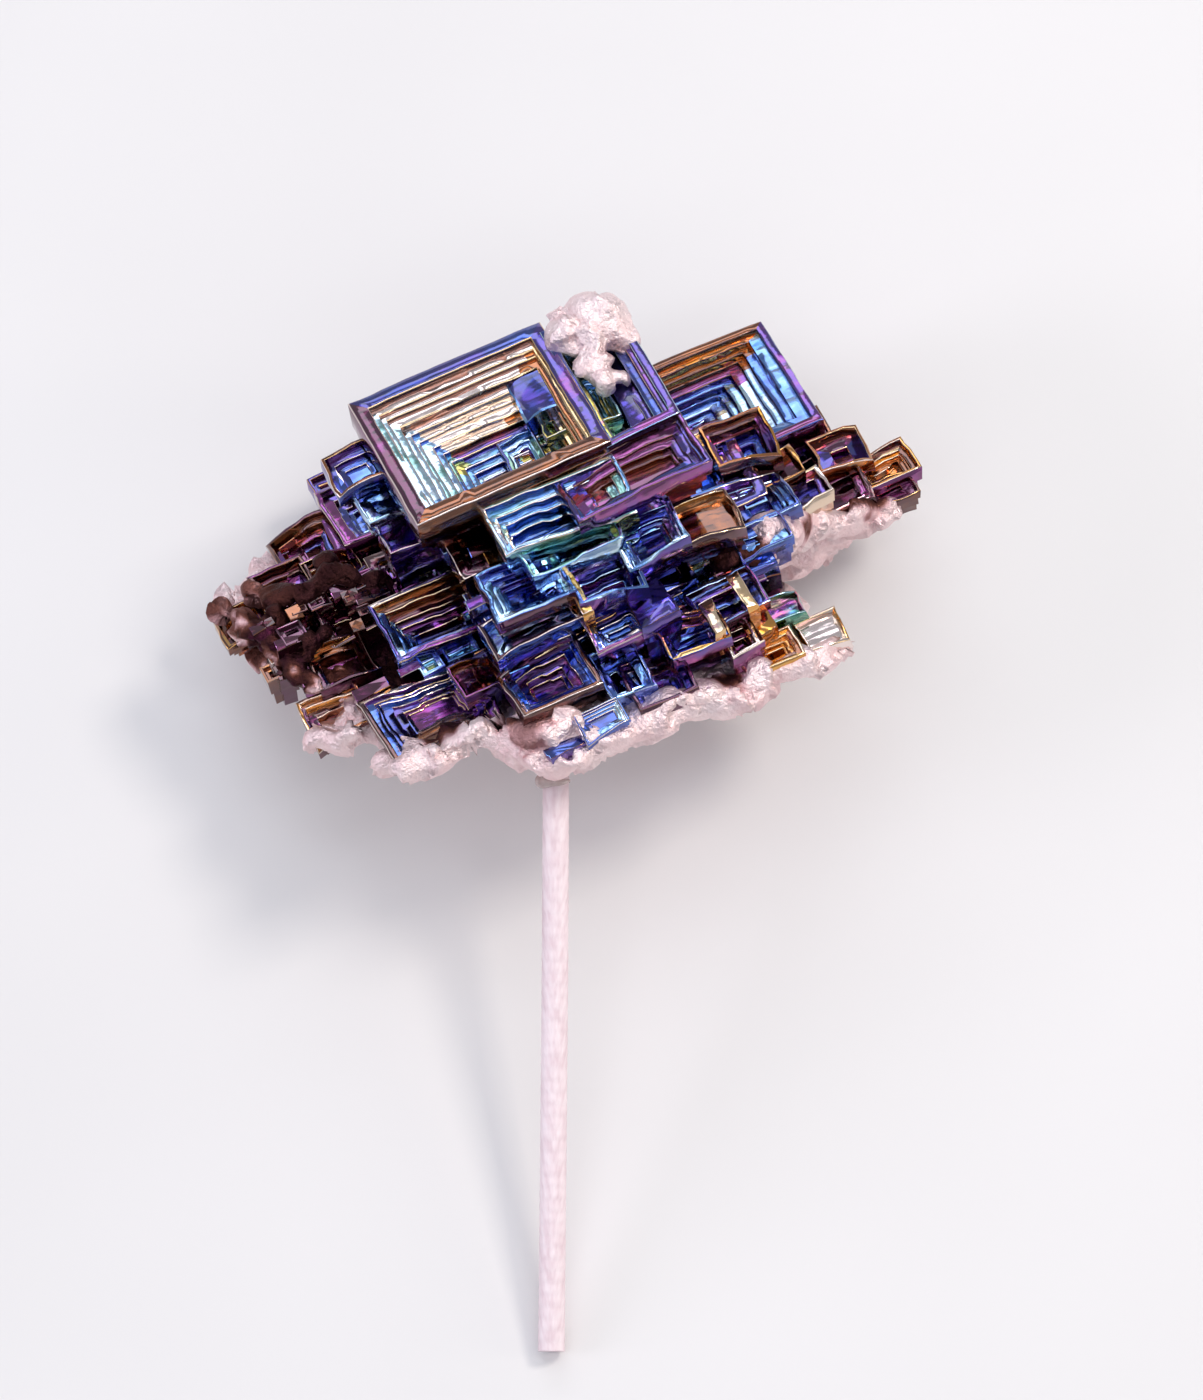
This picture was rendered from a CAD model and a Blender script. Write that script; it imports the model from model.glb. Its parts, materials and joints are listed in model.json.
"""Looks of a bismuth hopper crystal cluster on a thin rod, lying on its back.

Everything is drawn in millimetres as the cluster stands upright on its rod: X to the right,
Y away from the front, Z up along the rod, with z = 0 where the rod enters the crust. Finished
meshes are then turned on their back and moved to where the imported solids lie.
"""

import json
import math

import bpy
import numpy as np
from mathutils import Matrix, Vector, noise

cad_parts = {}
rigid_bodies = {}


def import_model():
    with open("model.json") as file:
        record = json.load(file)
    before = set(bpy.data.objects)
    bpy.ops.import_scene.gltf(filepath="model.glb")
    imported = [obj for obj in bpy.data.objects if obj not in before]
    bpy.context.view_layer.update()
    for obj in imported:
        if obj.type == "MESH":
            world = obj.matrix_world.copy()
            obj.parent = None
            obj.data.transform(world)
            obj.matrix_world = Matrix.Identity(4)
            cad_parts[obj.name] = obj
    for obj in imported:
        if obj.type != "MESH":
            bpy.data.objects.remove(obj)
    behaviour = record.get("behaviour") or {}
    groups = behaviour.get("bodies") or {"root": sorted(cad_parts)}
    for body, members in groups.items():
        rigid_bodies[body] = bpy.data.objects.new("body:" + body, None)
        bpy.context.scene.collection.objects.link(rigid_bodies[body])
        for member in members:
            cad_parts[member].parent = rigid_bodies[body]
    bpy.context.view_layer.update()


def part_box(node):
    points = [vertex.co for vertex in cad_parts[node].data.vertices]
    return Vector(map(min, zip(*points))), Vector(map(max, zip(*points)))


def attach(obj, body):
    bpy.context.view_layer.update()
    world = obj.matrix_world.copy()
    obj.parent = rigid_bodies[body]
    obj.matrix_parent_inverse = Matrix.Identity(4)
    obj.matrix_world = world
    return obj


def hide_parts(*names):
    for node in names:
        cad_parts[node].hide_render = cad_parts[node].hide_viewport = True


MM = 0.001
SHARP = math.radians(50.0)  # bevels read as rounded, the corners of the steps stay sharp
ROD_SHARP = math.radians(40.0)

# How the cluster lies, and the rod it is placed by
LEAN = math.radians(19.0)
ROLL = math.radians(4.0)
ROD_RADIUS = 0.97
ROD_LENGTH = 41.6  # below the crust
ROD_DEPTH = 2.2  # inside it
ROD_CENTRE = (0.0, -9.0)
ROD_CUT_SLOPE = 0.12  # rise of the slanted lower cut across one millimetre
ROD_SIDES = 16

# Directions that all the crystals share
LENGTH_AXIS = Vector((0.903, 0.155, 0.400))
WIDTH_AXIS = Vector((-0.411, 0.570, 0.709))
MISFIT = 2.2  # largest twist between neighbouring crystals, degrees
TWIST_PHASES = (2.4, 1.3)  # spread the twists and tilts over the crystals
DRIFT_PHASES = (1.7, 2.3)  # and the directions their terraces drift in

# Growth of a crystal. Shares of its height:
RECESS_SHARE = 0.6
COLLAR_SHARE = 0.3  # full-size part of its outside
LEDGED_SHARE = 0.58  # part below it that steps inwards
# and of the smaller of its length and width, with fewer or more than so many terraces or mm:
RIM_SHARE = 0.055
FLOOR_SHARES = (0.4, 4, 0.22)
TAPER_SHARES = (0.1, 3.0, 0.26)  # how far the ledges go in altogether
DRIFT_SHARE = 0.012
SLUMP_SHARE = 0.17  # how far one side of the rim curves away
# and lengths, mm:
LEDGE_HEIGHT = 0.75
LARGEST_SLUMP = 1.1
WOBBLE = 0.34
JOG = 0.24  # of whole patches in and out
JOG_PATCH = (1.7, 1.7, 2.1)
RIM_CUT = 0.9  # between the points of a rim, unless that makes fewer or more than:
RIM_CUTS = (3, 18)
WELD = 0.002
MIDDLE = (0.5, 0.5, 0.5)  # of a noise's three parts

# Oxide film: place on the scale from bare metal to thick film, and its colour
FILM_COLOURS = (
    (0.00, "#F0DFDD"), (0.05, "#E4CDBA"), (0.10, "#DDBB86"), (0.15, "#D9982F"),
    (0.20, "#A8602A"), (0.25, "#744226"), (0.30, "#542E34"), (0.35, "#62294E"),
    (0.40, "#94408A"), (0.45, "#563B94"), (0.51, "#313A86"), (0.57, "#3C5EB6"),
    (0.63, "#6496D0"), (0.70, "#CBE2F4"), (0.76, "#7EB6B2"), (0.82, "#71855F"),
    (0.88, "#D2BC3C"), (0.94, "#C8629A"), (1.00, "#559883"),
)
BARE_COLOURS = (
    (0.00, "#F5E2E2"), (0.05, "#EDD2D3"), (0.10, "#D3ADB1"), (0.14, "#B58C8C"),
    (0.19, "#7C5048"), (0.25, "#52302A"), (0.31, "#3B2024"), (0.37, "#5A1E44"),
    (0.43, "#7A2E80"), (0.49, "#43308E"), (0.55, "#26317F"), (0.61, "#3560BC"),
    (0.68, "#9CC2E8"),
)

# Film on the rounded edges of blue and of brown terraces, in turn
EDGE_FILMS = ((0.68, 0.05), (0.50, 0.28), (0.03, 0.13), (0.62, 0.24), (0.66, 0.03), (0.56, 0.08),
              (0.02, 0.09))
STRIPE = 0.06  # how far each terrace's film strays from its wall's
SIDE_STRAY = 0.03  # and each side's from its rim's or from the outside's
FLOOR_FILM_FROM = 0.42  # share of the depth where the walls begin to take the floor's film
FLOOR_FILM_BLEND = 0.2
RIM_DEPTH = 0.12  # treads above this depth are the rim, mm
# Small crystals turn brown beyond these two places from left to right, over that many millimetres
LEFT_END = -11.0
RIGHT_END = 17.5
END_BLEND = 2.5

# The largest hopper is two recesses side by side in one block; a third stands behind it. Centre of
# the rim (x, y, z), length, width, height, depth, terraces, rim width, how far each terrace lies
# off the one above it, and the film: of the rims and of the walls at the left, right, top and
# bottom, of the floor below each wall and of the outside
LARGE_HOPPERS = {
    "main_left": ((-5.55, -10.42, 24.9), (15.2, 12.7, 9.0), 7.2, 12, 1.1, (0.17, -0.26),
                  (0.31, 0.45, 0.50, 0.25), (0.69, 0.14, 0.04, 0.68), (0.83, 0.81, 0.84, 0.60),
                  (0.32, 0.36, 0.42, 0.25)),
    "main_right": ((3.8, -9.16, 28.47), (5.9, 11.6, 8.6), 3.4, 6, 0.6, (-0.12, -0.3),
                   (0.50, 0.46, 0.52, 0.45), (0.80, 0.49, 0.77, 0.82), (0.82, 0.50, 0.83, 0.80),
                   0.36),
    "back_hopper": ((11.9, 3.2, 27.0), (11.6, 10.8, 7.6), 4.4, 9, 0.6, (-0.26, 0.16),
                    (0.33, 0.40, 0.23, 0.38), (0.69, 0.60, 0.24, 0.66), (0.70, 0.68, 0.66, 0.66),
                    0.40),
}
LARGE_SEED = 90
# Hopper crystals: centre of the rim, length, width, height, terraces, and the film of the rim,
# walls, floor and outside, as one number or one each for left, right, top and bottom
FRONT_CRYSTALS = {
    "tray": (5.1, -13.9, 21.8, 10.4, 5.5, 5.4, 5, 0.43, 0.45, 0.36, 0.38),
    "glint": (0.2, -14.1, 18.9, 10.2, 4.7, 5.4, 4, 0.70, 0.71, 0.72, 0.76),
    "teal_ledge": (0.9, -14.5, 16.4, 7.2, 3.8, 4.6, 4, 0.78, 0.76, 0.66, 0.74),
    "teal": (6.4, -13.8, 17.3, 5.0, 4.4, 5.0, 4, 0.68, 0.62, 0.57, 0.46),
    "mid": (-2.1, -14.5, 13.4, 6.2, 4.8, 5.0, 4, 0.66, 0.66, 0.55, 0.30),
    "mid_ledge": (-2.0, -13.4, 10.8, 6.6, 3.7, 4.0, 2, 0.30, 0.68, 0.60, 0.54),
    "twin": (3.4, -14.4, 14.1, 5.2, 3.8, 4.6, 4, 0.60, 0.64, 0.50, 0.47),
    "violet_block": (6.7, -13.8, 12.0, 2.9, 3.5, 4.6, 0, 0.50, 0.50, 0.50, 0.47),
    "ribbed": (4.3, -13.7, 10.8, 4.6, 3.5, 4.0, 5, 0.40, 0.54, 0.66, 0.42),
    "yellow_rim": (9.7, -13.0, 10.1, 4.7, 3.7, 4.0, 5, 0.14, 0.50, 0.60, 0.42),
    "yellow_patch": (12.2, -11.0, 12.4, 5.1, 3.7, 4.2, 3, 0.47, 0.50, 0.52, 0.40),
    "dark_block": (10.3, -11.4, 18.1, 5.3, 3.7, 4.4, 1, 0.27, 0.24, 0.28, 0.30),
    "front_hopper": (-0.6, -14.1, 7.0, 6.2, 5.4, 4.2, 5, 0.28, 0.52, 0.44, 0.31),
    "deep_blue": (4.6, -13.2, 7.4, 3.5, 4.3, 4.2, 3, 0.58, 0.60, 0.55, 0.56),
    "violet_hopper": (7.2, -13.1, 6.7, 4.5, 4.7, 4.4, 4, 0.33, 0.46, 0.50, 0.34),
    "foot_blue": (3.3, -15.3, 3.8, 3.4, 2.4, 1.2, 4, 0.60, 0.62, 0.57, 0.57),
    "foot_violet": (0.7, -15.6, 1.8, 3.0, 1.1, 1.2, 0, 0.50, 0.50, 0.50, 0.47),
    "orange_spur": (1.5, -14.6, 12.6, 0.8, 4.0, 3.0, 0, 0.16, 0.16, 0.16, 0.18),
    "yellow_plate": (13.3, -12.6, 12.9, 0.9, 3.2, 3.0, 0, 0.13, 0.13, 0.13, 0.14),
    "yellow_bow": (11.1, -13.8, 11.0, 0.9, 3.0, 3.0, 0, 0.13, 0.13, 0.13, 0.14),
    "pink_ribs": (13.0, -11.9, 9.9, 2.6, 3.2, 3.4, 4, 0.02, 0.03, 0.40, 0.40),
    "magenta_lines": (-5.7, -11.3, 7.0, 3.2, 3.4, 4.0, 3, 0.40, 0.39, 0.46, 0.45),
}
LEFT_CRYSTALS = {
    "side_upper": (-14.4, -8.0, 22.0, 4.2, 3.7, 3.4, 3, 0.20, 0.53, 0.60, 0.50),
    "side_middle": (-12.3, -8.4, 19.5, 4.0, 3.1, 3.4, 2, 0.68, 0.70, 0.66, 0.64),
    "side_lower": (-10.6, -7.8, 17.2, 4.0, 2.9, 4.2, 1, 0.45, 0.46, 0.45, 0.46),
    "mid_left": (-8.8, -7.0, 11.6, 8.2, 5.3, 5.4, 5, (0.45, 0.48, 0.04, 0.46),
                 (0.67, 0.50, 0.30, 0.52), (0.60, 0.32, 0.48, 0.50), 0.50),
    "lower_left": (-8.9, -10.9, 4.4, 8.7, 7.0, 2.5, 6, (0.28, 0.40, 0.05, 0.28),
                   (0.58, 0.40, 0.52, 0.30), (0.52, 0.36, 0.46, 0.30), 0.28),
    "far_left": (-15.8, -6.6, 4.2, 4.6, 4.0, 2.6, 3, 0.20, 0.30, 0.30, 0.27),
    "left_inner": (-15.6, -5.2, 8.0, 4.6, 3.9, 4.2, 3, 0.28, 0.32, 0.38, 0.30),
    "left_tip": (-22.7, -1.0, 10.8, 3.8, 3.3, 2.8, 3, 0.24, 0.30, 0.34, 0.26),
    "left_back": (-19.9, 0.2, 13.4, 4.4, 3.9, 4.8, 3, 0.30, 0.38, 0.34, 0.30),
    "left_back_low": (-19.2, -2.9, 9.8, 4.6, 3.6, 4.4, 2, 0.27, 0.32, 0.36, 0.28),
    "left_back_mid": (-15.0, -3.2, 11.4, 4.4, 3.8, 4.8, 3, 0.29, 0.30, 0.34, 0.30),
    "left_back_high": (-16.2, 0.4, 14.5, 4.2, 3.6, 4.8, 3, 0.30, 0.36, 0.30, 0.29),
    "left_back_top": (-12.0, -0.8, 14.2, 4.8, 4.0, 5.4, 4, 0.42, 0.36, 0.52, 0.38),
}
RIGHT_CRYSTALS = {
    "rounded": (13.2, -4.4, 24.0, 4.8, 4.1, 5.0, 5, 0.21, 0.42, 0.60, 0.28),
    "orange_block": (15.9, -4.0, 21.9, 3.2, 2.9, 4.4, 1, 0.22, 0.30, 0.36, 0.24),
    "navy_ledge": (14.5, -9.0, 16.9, 4.2, 2.6, 3.0, 2, 0.51, 0.56, 0.60, 0.50),
    "blue_hollow": (13.4, -7.2, 19.3, 7.1, 4.6, 5.0, 5, 0.57, 0.56, 0.52, 0.55),
    "pale_block": (17.7, -4.4, 20.3, 3.6, 2.8, 4.0, 2, 0.05, 0.30, 0.50, 0.08),
    "end_orange": (20.5, 0.0, 23.4, 4.0, 3.3, 4.4, 2, 0.19, 0.42, 0.46, 0.20),
    "end_tip": (23.9, 1.0, 22.3, 4.2, 3.4, 4.2, 4, 0.19, 0.18, 0.24, 0.36),
    "end_low": (20.6, -1.0, 20.6, 3.8, 3.4, 4.0, 2, 0.33, 0.30, 0.38, 0.30),
    "end_tip_low": (24.1, 0.4, 20.4, 3.8, 2.6, 2.2, 2, 0.35, 0.33, 0.30, 0.31),
    "amber": (14.5, -10.6, 10.4, 2.0, 1.8, 3.0, 0, 0.18, 0.18, 0.18, 0.20),
    "small_tip": (16.3, -8.8, 11.8, 2.7, 2.3, 2.8, 1, 0.94, 0.95, 0.95, 0.99),
    "gold_inner": (15.3, -10.8, 8.6, 4.4, 3.0, 2.0, 4, 0.12, 0.13, 0.13, 0.14),
    "white_block": (19.0, -9.0, 10.1, 3.2, 2.7, 3.0, 1, (0.03, 0.17, 0.03, 0.06), 0.03, 0.03, 0.04),
}
INNER_CRYSTALS = {
    "green_ribs": (2.6, -8.0, 26.6, 2.6, 4.4, 3.6, 4, 0.82, 0.78, 0.84, 0.80),
    "navy_wall": (5.0, -7.6, 27.6, 2.4, 6.4, 4.4, 0, 0.50, 0.50, 0.50, 0.49),
    "green_step": (-0.2, -8.3, 25.0, 2.0, 2.6, 3.4, 2, 0.83, 0.80, 0.88, 0.82),
    "navy_plateau": (-1.4, -7.6, 27.2, 3.3, 3.6, 5.0, 0, 0.53, 0.53, 0.53, 0.53),
    "violet_inset": (-2.2, -8.5, 22.6, 2.9, 3.9, 4.0, 4, 0.46, 0.70, 0.05, 0.46),
}
# Rear crystals on the crust: right, uphill and above its middle, then the same as above
REAR_CRYSTALS = {
    "rear_big_left": (-7.0, 5.5, 8.5, 9.0, 7.0, 6.5, 6, 0.34, 0.52, 0.62, 0.44),
    "rear_big": (0.6, 9.2, 9.4, 9.0, 6.8, 7.0, 6, 0.24, 0.60, 0.70, 0.50),
    "rear_left": (-12.2, 8.2, 5.0, 7.2, 6.0, 5.4, 5, 0.40, 0.46, 0.56, 0.36),
    "rear_middle": (-3.4, 12.0, 5.8, 8.4, 6.0, 6.0, 5, 0.20, 0.50, 0.44, 0.46),
    "rear_right": (6.2, 12.2, 6.4, 7.0, 5.4, 6.2, 5, 0.43, 0.66, 0.56, 0.53),
    "rear_far_left": (-17.6, 6.6, 3.6, 5.0, 4.4, 4.2, 4, 0.30, 0.38, 0.48, 0.34),
    "rear_edge_left": (-8.6, 14.4, 3.2, 6.0, 4.2, 4.0, 4, 0.50, 0.58, 0.66, 0.54),
    "rear_edge": (1.6, 15.0, 3.2, 6.4, 4.2, 4.0, 4, 0.33, 0.40, 0.52, 0.40),
    "rear_edge_right": (8.8, 15.2, 2.9, 4.4, 3.4, 3.6, 4, 0.22, 0.46, 0.54, 0.30),
    "rear_far_right": (13.0, 11.2, 4.6, 6.0, 5.0, 5.0, 5, 0.56, 0.62, 0.50, 0.47),
    "rear_end_right": (19.2, 7.2, 3.6, 5.0, 4.4, 4.0, 4, 0.26, 0.34, 0.46, 0.31),
    "rear_corner_left": (-14.2, 12.6, 2.8, 4.6, 3.8, 3.6, 4, 0.45, 0.52, 0.60, 0.46),
}
# Plain blocks that the others stand on: centre, size in the crystals' directions, film
CORE_BLOCKS = (
    ((-1.5, -3.0, 18.0), (15.0, 11.0, 9.0), 0.34),
    ((9.0, -1.0, 18.5), (11.0, 9.0, 8.0), 0.47),
    ((2.2, -6.8, 11.5), (15.0, 7.0, 6.0), 0.53),
    ((-8.5, -0.2, 13.6), (9.0, 6.0, 4.6), 0.31),
    ((11.0, -5.5, 13.5), (9.0, 6.0, 6.0), 0.55),
)
CORE_SEED = 60
# Feet, in the laid frame: x, distance along the surface from the rod's top, length, width, height
# above the surface, and film of the outside
FEET = ((-11.2, 21.8, 6.6, 5.2, 3.0, 0.4), (12.4, 24.6, 6.2, 5.2, 3.4, 0.5))
FOOT_SEED = 70

# Kinds of small crystals: length, width, height, terraces, film
SPROUTS = ((1.0, 0.8, 1.6, 3, 0.40), (1.3, 0.7, 1.4, 2, 0.52), (0.8, 0.8, 2.0, 0, 0.30),
           (1.1, 1.1, 1.2, 3, 0.58), (1.6, 0.6, 1.5, 0, 0.46))
BLOCK_INSET = 0.6  # how far below a block's faces they grow from
# Patches of the crust that they grow on: right and uphill from its centre, half length and width
CRUST_PATCHES = ((0.0, 8.0, 13.0, 6.0), (-16.0, 2.0, 4.0, 5.0), (15.0, 6.8, 5.0, 4.2),
                 (0.0, -5.0, 11.0, 6.5))

# Gaps that larger ones of them fill: centre, and half their length and width
GAPS = (
    ((-1.0, -11.4, 16.0), 8.0, 3.4), ((6.5, -10.6, 13.2), 8.0, 4.4), ((1.4, -11.4, 8.9), 6.0, 2.6),
    ((-10.1, -7.0, 8.6), 5.0, 3.4), ((-16.0, -3.6, 9.4), 5.0, 4.2), ((13.0, -5.2, 17.6), 4.0, 3.4),
    ((19.6, -0.8, 20.4), 4.6, 2.4), ((-6.6, -9.4, 15.2), 4.0, 3.0),
)
GAP_CELL = 0.6

# Rough crust that everything grew from. Its outline: angle from the right in degrees, distance
# from its centre in mm
CRUST_CENTRE = Vector((0.3, 1.2, 12.9))
CRUST_ROLL = math.radians(11.0)
CRUST_PITCH = math.radians(45.0)
CRUST_OUTLINE = (
    (0, 19.0), (7, 27.0), (18, 25.0), (32, 21.5), (46, 19.0), (60, 18.0), (75, 16.5), (90, 16.0),
    (105, 17.5), (120, 18.0), (138, 20.5), (151, 22.5), (162, 23.5), (168, 25.6), (180, 23.4),
    (194, 20.0), (203, 19.6), (209, 21.3), (219, 18.8), (227, 19.8), (234, 17.0), (241, 14.2),
    (247, 16.6), (256, 17.2), (266, 17.4), (275, 17.2), (283, 16.4), (292, 16.2), (302, 16.6),
    (313, 18.9), (325, 19.6), (333, 21.6), (341, 16.0), (352, 14.0), (360, 19.0),
)
CRUST_DROP = 1.35  # radius of the drops of metal it is made of
DROP_SPACING = 1.15
EDGE_DROPS = 150  # round its outline
BARE_EDGE = 2.0  # width of the edge that stays bare, and of the change to the film of its middle
FILM_CHANGE = 3.0
CRUST_FILMS = (0.03, 0.30)  # at its edge and in its middle
LIP_DROPS = 4  # between two points of a lip
# Lips along its edge: points and radius
LIPS = (
    (((-3.4, -12.6, 2.0), (-1.6, -13.3, 1.4), (0.8, -13.6, 1.4), (3.4, -13.5, 2.2),
      (6.2, -13.0, 3.5), (9.2, -12.3, 4.5), (12.2, -11.4, 5.4), (14.2, -10.4, 6.1)), 1.55),
    (((-12.0, -11.0, 0.7), (-10.2, -11.7, 1.0), (-8.0, -11.9, 1.8), (-5.6, -11.9, 2.6)), 1.05),
    (((-3.8, -13.4, 3.0), (-1.4, -14.5, 2.7), (0.2, -14.7, 3.1), (1.0, -14.6, 3.6)), 1.05),
    (((-0.8, -14.6, 0.9), (0.8, -14.9, 0.7), (2.2, -14.8, 1.1), (3.6, -14.6, 1.9),
      (5.2, -14.2, 2.9)), 0.8),
    (((14.4, -10.8, 6.4), (16.8, -9.8, 7.2), (19.2, -8.8, 8.2), (20.6, -8.2, 9.4)), 1.1),
    (((-11.6, -9.8, 0.7), (-9.6, -10.4, 0.8), (-7.6, -10.8, 1.5), (-6.0, -11.0, 2.2)), 1.15),
    (((-11.2, -13.2, 0.35), (-9.6, -13.4, 0.6), (-8.2, -13.4, 1.05), (-6.8, -13.3, 1.8),
      (-5.0, -13.2, 2.6)), 0.85),
    (((-17.2, -7.4, 2.3), (-15.6, -8.2, 2.3), (-13.8, -8.8, 2.9)), 0.9),
    (((-17.4, -6.0, 1.9), (-15.8, -6.6, 1.8), (-14.2, -7.4, 2.1)), 0.95),
    (((15.6, -4.6, 16.2), (18.6, -2.0, 17.4), (21.6, -0.4, 18.0), (25.0, 1.0, 19.0)), 1.15),
    (((14.6, -6.2, 16.6), (17.4, -4.0, 17.6), (20.2, -2.2, 18.2), (23.4, -0.6, 19.0)), 0.9),
)
# Drops of bare metal at the front and the right of the crust: centre and radius
FOOT_DROPS = (
    (-2.6, -11.2, 2.6, 1.7), (-0.6, -11.6, 2.2, 1.9), (1.6, -11.6, 2.6, 1.9),
    (3.8, -11.4, 3.6, 1.6), (0.4, -9.4, 3.4, 2.4), (-1.6, -12.6, 3.4, 1.2),
    (12.8, -7.2, 15.6, 1.7), (14.8, -7.0, 16.2, 2.0), (16.6, -6.2, 16.4, 1.5),
    (13.8, -7.6, 14.6, 1.3), (17.2, -5.0, 17.4, 1.2), (1.7, -14.0, 1.1, 1.1), (0.2, -14.0, 0.9, 1.0),
    (1.4, -13.2, 0.9, 1.2), (2.6, -13.4, 1.3, 1.2), (0.9, -12.4, 0.9, 1.2),
)
# Drops that half bury the crystals at the left, under a brown film
BROWN_DROPS = (
    (-22.8, -2.2, 10.8, 1.3), (-21.6, -2.8, 9.6, 1.2), (-20.6, -2.0, 12.2, 1.2),
    (-19.2, -2.6, 12.8, 1.0), (-17.8, -2.6, 12.6, 1.2), (-16.4, -3.0, 13.4, 0.9),
    (-15.2, -3.2, 13.8, 1.1), (-20.6, -3.8, 8.6, 1.2), (-19.2, -4.4, 8.2, 1.0),
    (-17.8, -4.8, 8.8, 1.1), (-16.6, -4.6, 9.8, 0.8), (-13.2, -3.2, 13.2, 1.1),
    (-18.6, -5.2, 6.8, 1.1), (-17.2, -5.8, 6.2, 0.9), (-22.0, -0.8, 12.8, 1.1),
    (-16.6, -1.8, 15.0, 1.0), (-24.2, -0.8, 11.2, 1.0), (-20.2, -3.2, 10.6, 1.0),
)
# Oxidised patches of the crust: centre, radius, film
CRUST_STAINS = (
    ((-1.8, -14.6, 2.8), 1.9, 0.15), ((-3.2, -13.6, 3.4), 1.2, 0.20),
    ((13.4, -7.2, 15.6), 2.4, 0.28), ((17.0, -4.8, 17.6), 1.8, 0.18),
    ((-8.0, -11.8, 4.0), 2.5, 0.30), ((-17.5, -3.4, 11.4), 7.6, 0.29),
    ((-12.0, -4.6, 10.6), 5.0, 0.32), ((21.8, -0.4, 20.6), 2.6, 0.26),
    ((11.6, -11.4, 5.6), 1.7, 0.30), ((-24.0, -1.2, 12.2), 3.4, 0.18),
)
# Drops of the rounded lump on the largest crystal
TOP_DROPS = (
    (0.6, -7.0, 31.4, 1.6), (1.9, -6.6, 32.1, 2.0), (3.6, -6.5, 31.7, 1.9), (5.0, -6.8, 30.8, 1.2),
    (2.6, -7.3, 30.6, 1.4), (3.0, -8.0, 29.6, 1.1), (2.4, -8.2, 28.6, 0.9), (3.4, -8.6, 27.8, 1.0),
    (4.6, -8.4, 28.0, 0.7), (1.6, -7.6, 30.2, 0.9), (3.5, -6.9, 32.7, 1.5),
)
GLUE_DROPS = 32
STAIN_FROM = -3.6  # the stick is stained above this height, fully so after another:
STAIN_BLEND = 3.0

# Camera: distance and width of the view there, m, and sensor, mm
CAMERA_DISTANCE = 0.6
VIEW_WIDTH = 0.08593
SENSOR = 36.0
# Soft lamps: place from the cluster's middle and size, m, power and colour
LAMPS = {
    "key": ((0.30, 0.12, 0.45), (0.12, 0.12), 1.15, "#FFF6EC"),
    "back": ((-0.10, 0.60, 0.44), (0.52, 0.24), 0.9, "#EEF3FF"),
    "strip_0": ((0.05, 0.34, 0.70), (0.80, 0.10), 0.6, "#F6F8FF"),
    "strip_1": ((0.05, 0.10, 0.80), (0.80, 0.10), 0.8, "#F6F8FF"),
    "strip_2": ((0.05, -0.16, 0.78), (0.80, 0.10), 0.8, "#F6F8FF"),
    "strip_3": ((0.05, -0.44, 0.62), (0.80, 0.10), 0.6, "#F6F8FF"),
    "left": ((-0.55, -0.10, 0.24), (0.16, 0.30), 0.9, "#F4F0FF"),
    "right": ((0.62, -0.06, 0.20), (0.10, 0.40), 0.6, "#FFF2E4"),
}


# ---------------------------------------------------------------- frames

def lattice(turn=0.0, tilt=0.0):
    """Frame of a crystal: length, width and opening as columns, a little twisted."""
    x = LENGTH_AXIS.normalized()
    z = x.cross(WIDTH_AXIS).normalized()
    frame3 = Matrix((x, z.cross(x), z)).transposed()
    twist = Matrix.Rotation(math.radians(turn), 3, "Z")
    return frame3 @ twist @ Matrix.Rotation(math.radians(tilt), 3, "X")


def crust_frame():
    """Frame of the crust: right, uphill and out of it as columns."""
    x = Vector((math.cos(CRUST_ROLL), 0.0, math.sin(CRUST_ROLL)))
    uphill = Vector((0.0, math.sin(CRUST_PITCH), math.cos(CRUST_PITCH)))
    y = (uphill - uphill.project(x)).normalized()
    return Matrix((x, y, x.cross(y))).transposed()


def laid_turn():
    """Turns the upright cluster on its back."""
    return Matrix.Rotation(ROLL, 3, "Y") @ Matrix.Rotation(LEAN - math.pi / 2.0, 3, "X")


def rod_corners():
    """Corners of the faceted rod, upright, mm."""
    for k in range(ROD_SIDES):
        angle = math.tau * k / ROD_SIDES
        x, y = ROD_RADIUS * math.sin(angle), ROD_RADIUS * math.cos(angle)
        for z in (ROD_DEPTH, -ROD_LENGTH - ROD_CUT_SLOPE * y):
            yield Vector((ROD_CENTRE[0] + x, ROD_CENTRE[1] + y, z))


def laid_place():
    """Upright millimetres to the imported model's metres, found from the rod's box."""
    turn = laid_turn()
    corners = [turn @ c for c in rod_corners()]
    low = Vector([min(c[k] for c in corners) for k in range(3)])
    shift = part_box("holding_rod")[0] - low * MM
    return Matrix.Translation(shift) @ turn.to_4x4() @ Matrix.Scale(MM, 4)


# ---------------------------------------------------------------- node helpers

class Field:
    """A node's output to reckon with: each sign adds a maths node to the same tree."""

    def __init__(self, socket):
        self.socket = socket
        self.tree = socket.id_data
        self.is_vector = socket.type in ("VECTOR", "RGBA")

    def __add__(self, other):
        return calc("ADD", self, other)

    def __sub__(self, other):
        return calc("SUBTRACT", self, other)

    def __rsub__(self, other):
        return calc("SUBTRACT", other, self)

    def __mul__(self, other):
        return calc("MULTIPLY", self, other)

    def __truediv__(self, other):
        return calc("DIVIDE", self, other)


def fill(node, values):
    """Fills a node's sockets, each with a value or with the field that feeds it."""
    by_identifier = {s.identifier: s for s in node.inputs}
    for key, value in values.items():
        socket = by_identifier.get(key) or node.inputs[key]
        if isinstance(value, Field):
            value.tree.links.new(value.socket, socket)
        else:
            socket.default_value = value


def add(tree, kind, values=None, output=0, **settings):
    """Adds a node with its settings and values. Returns one of its outputs as a field."""
    made = tree.nodes.new(kind)
    for key, value in settings.items():
        setattr(made, key, value)
    fill(made, values or {})
    return Field(made.outputs[output])


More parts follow.
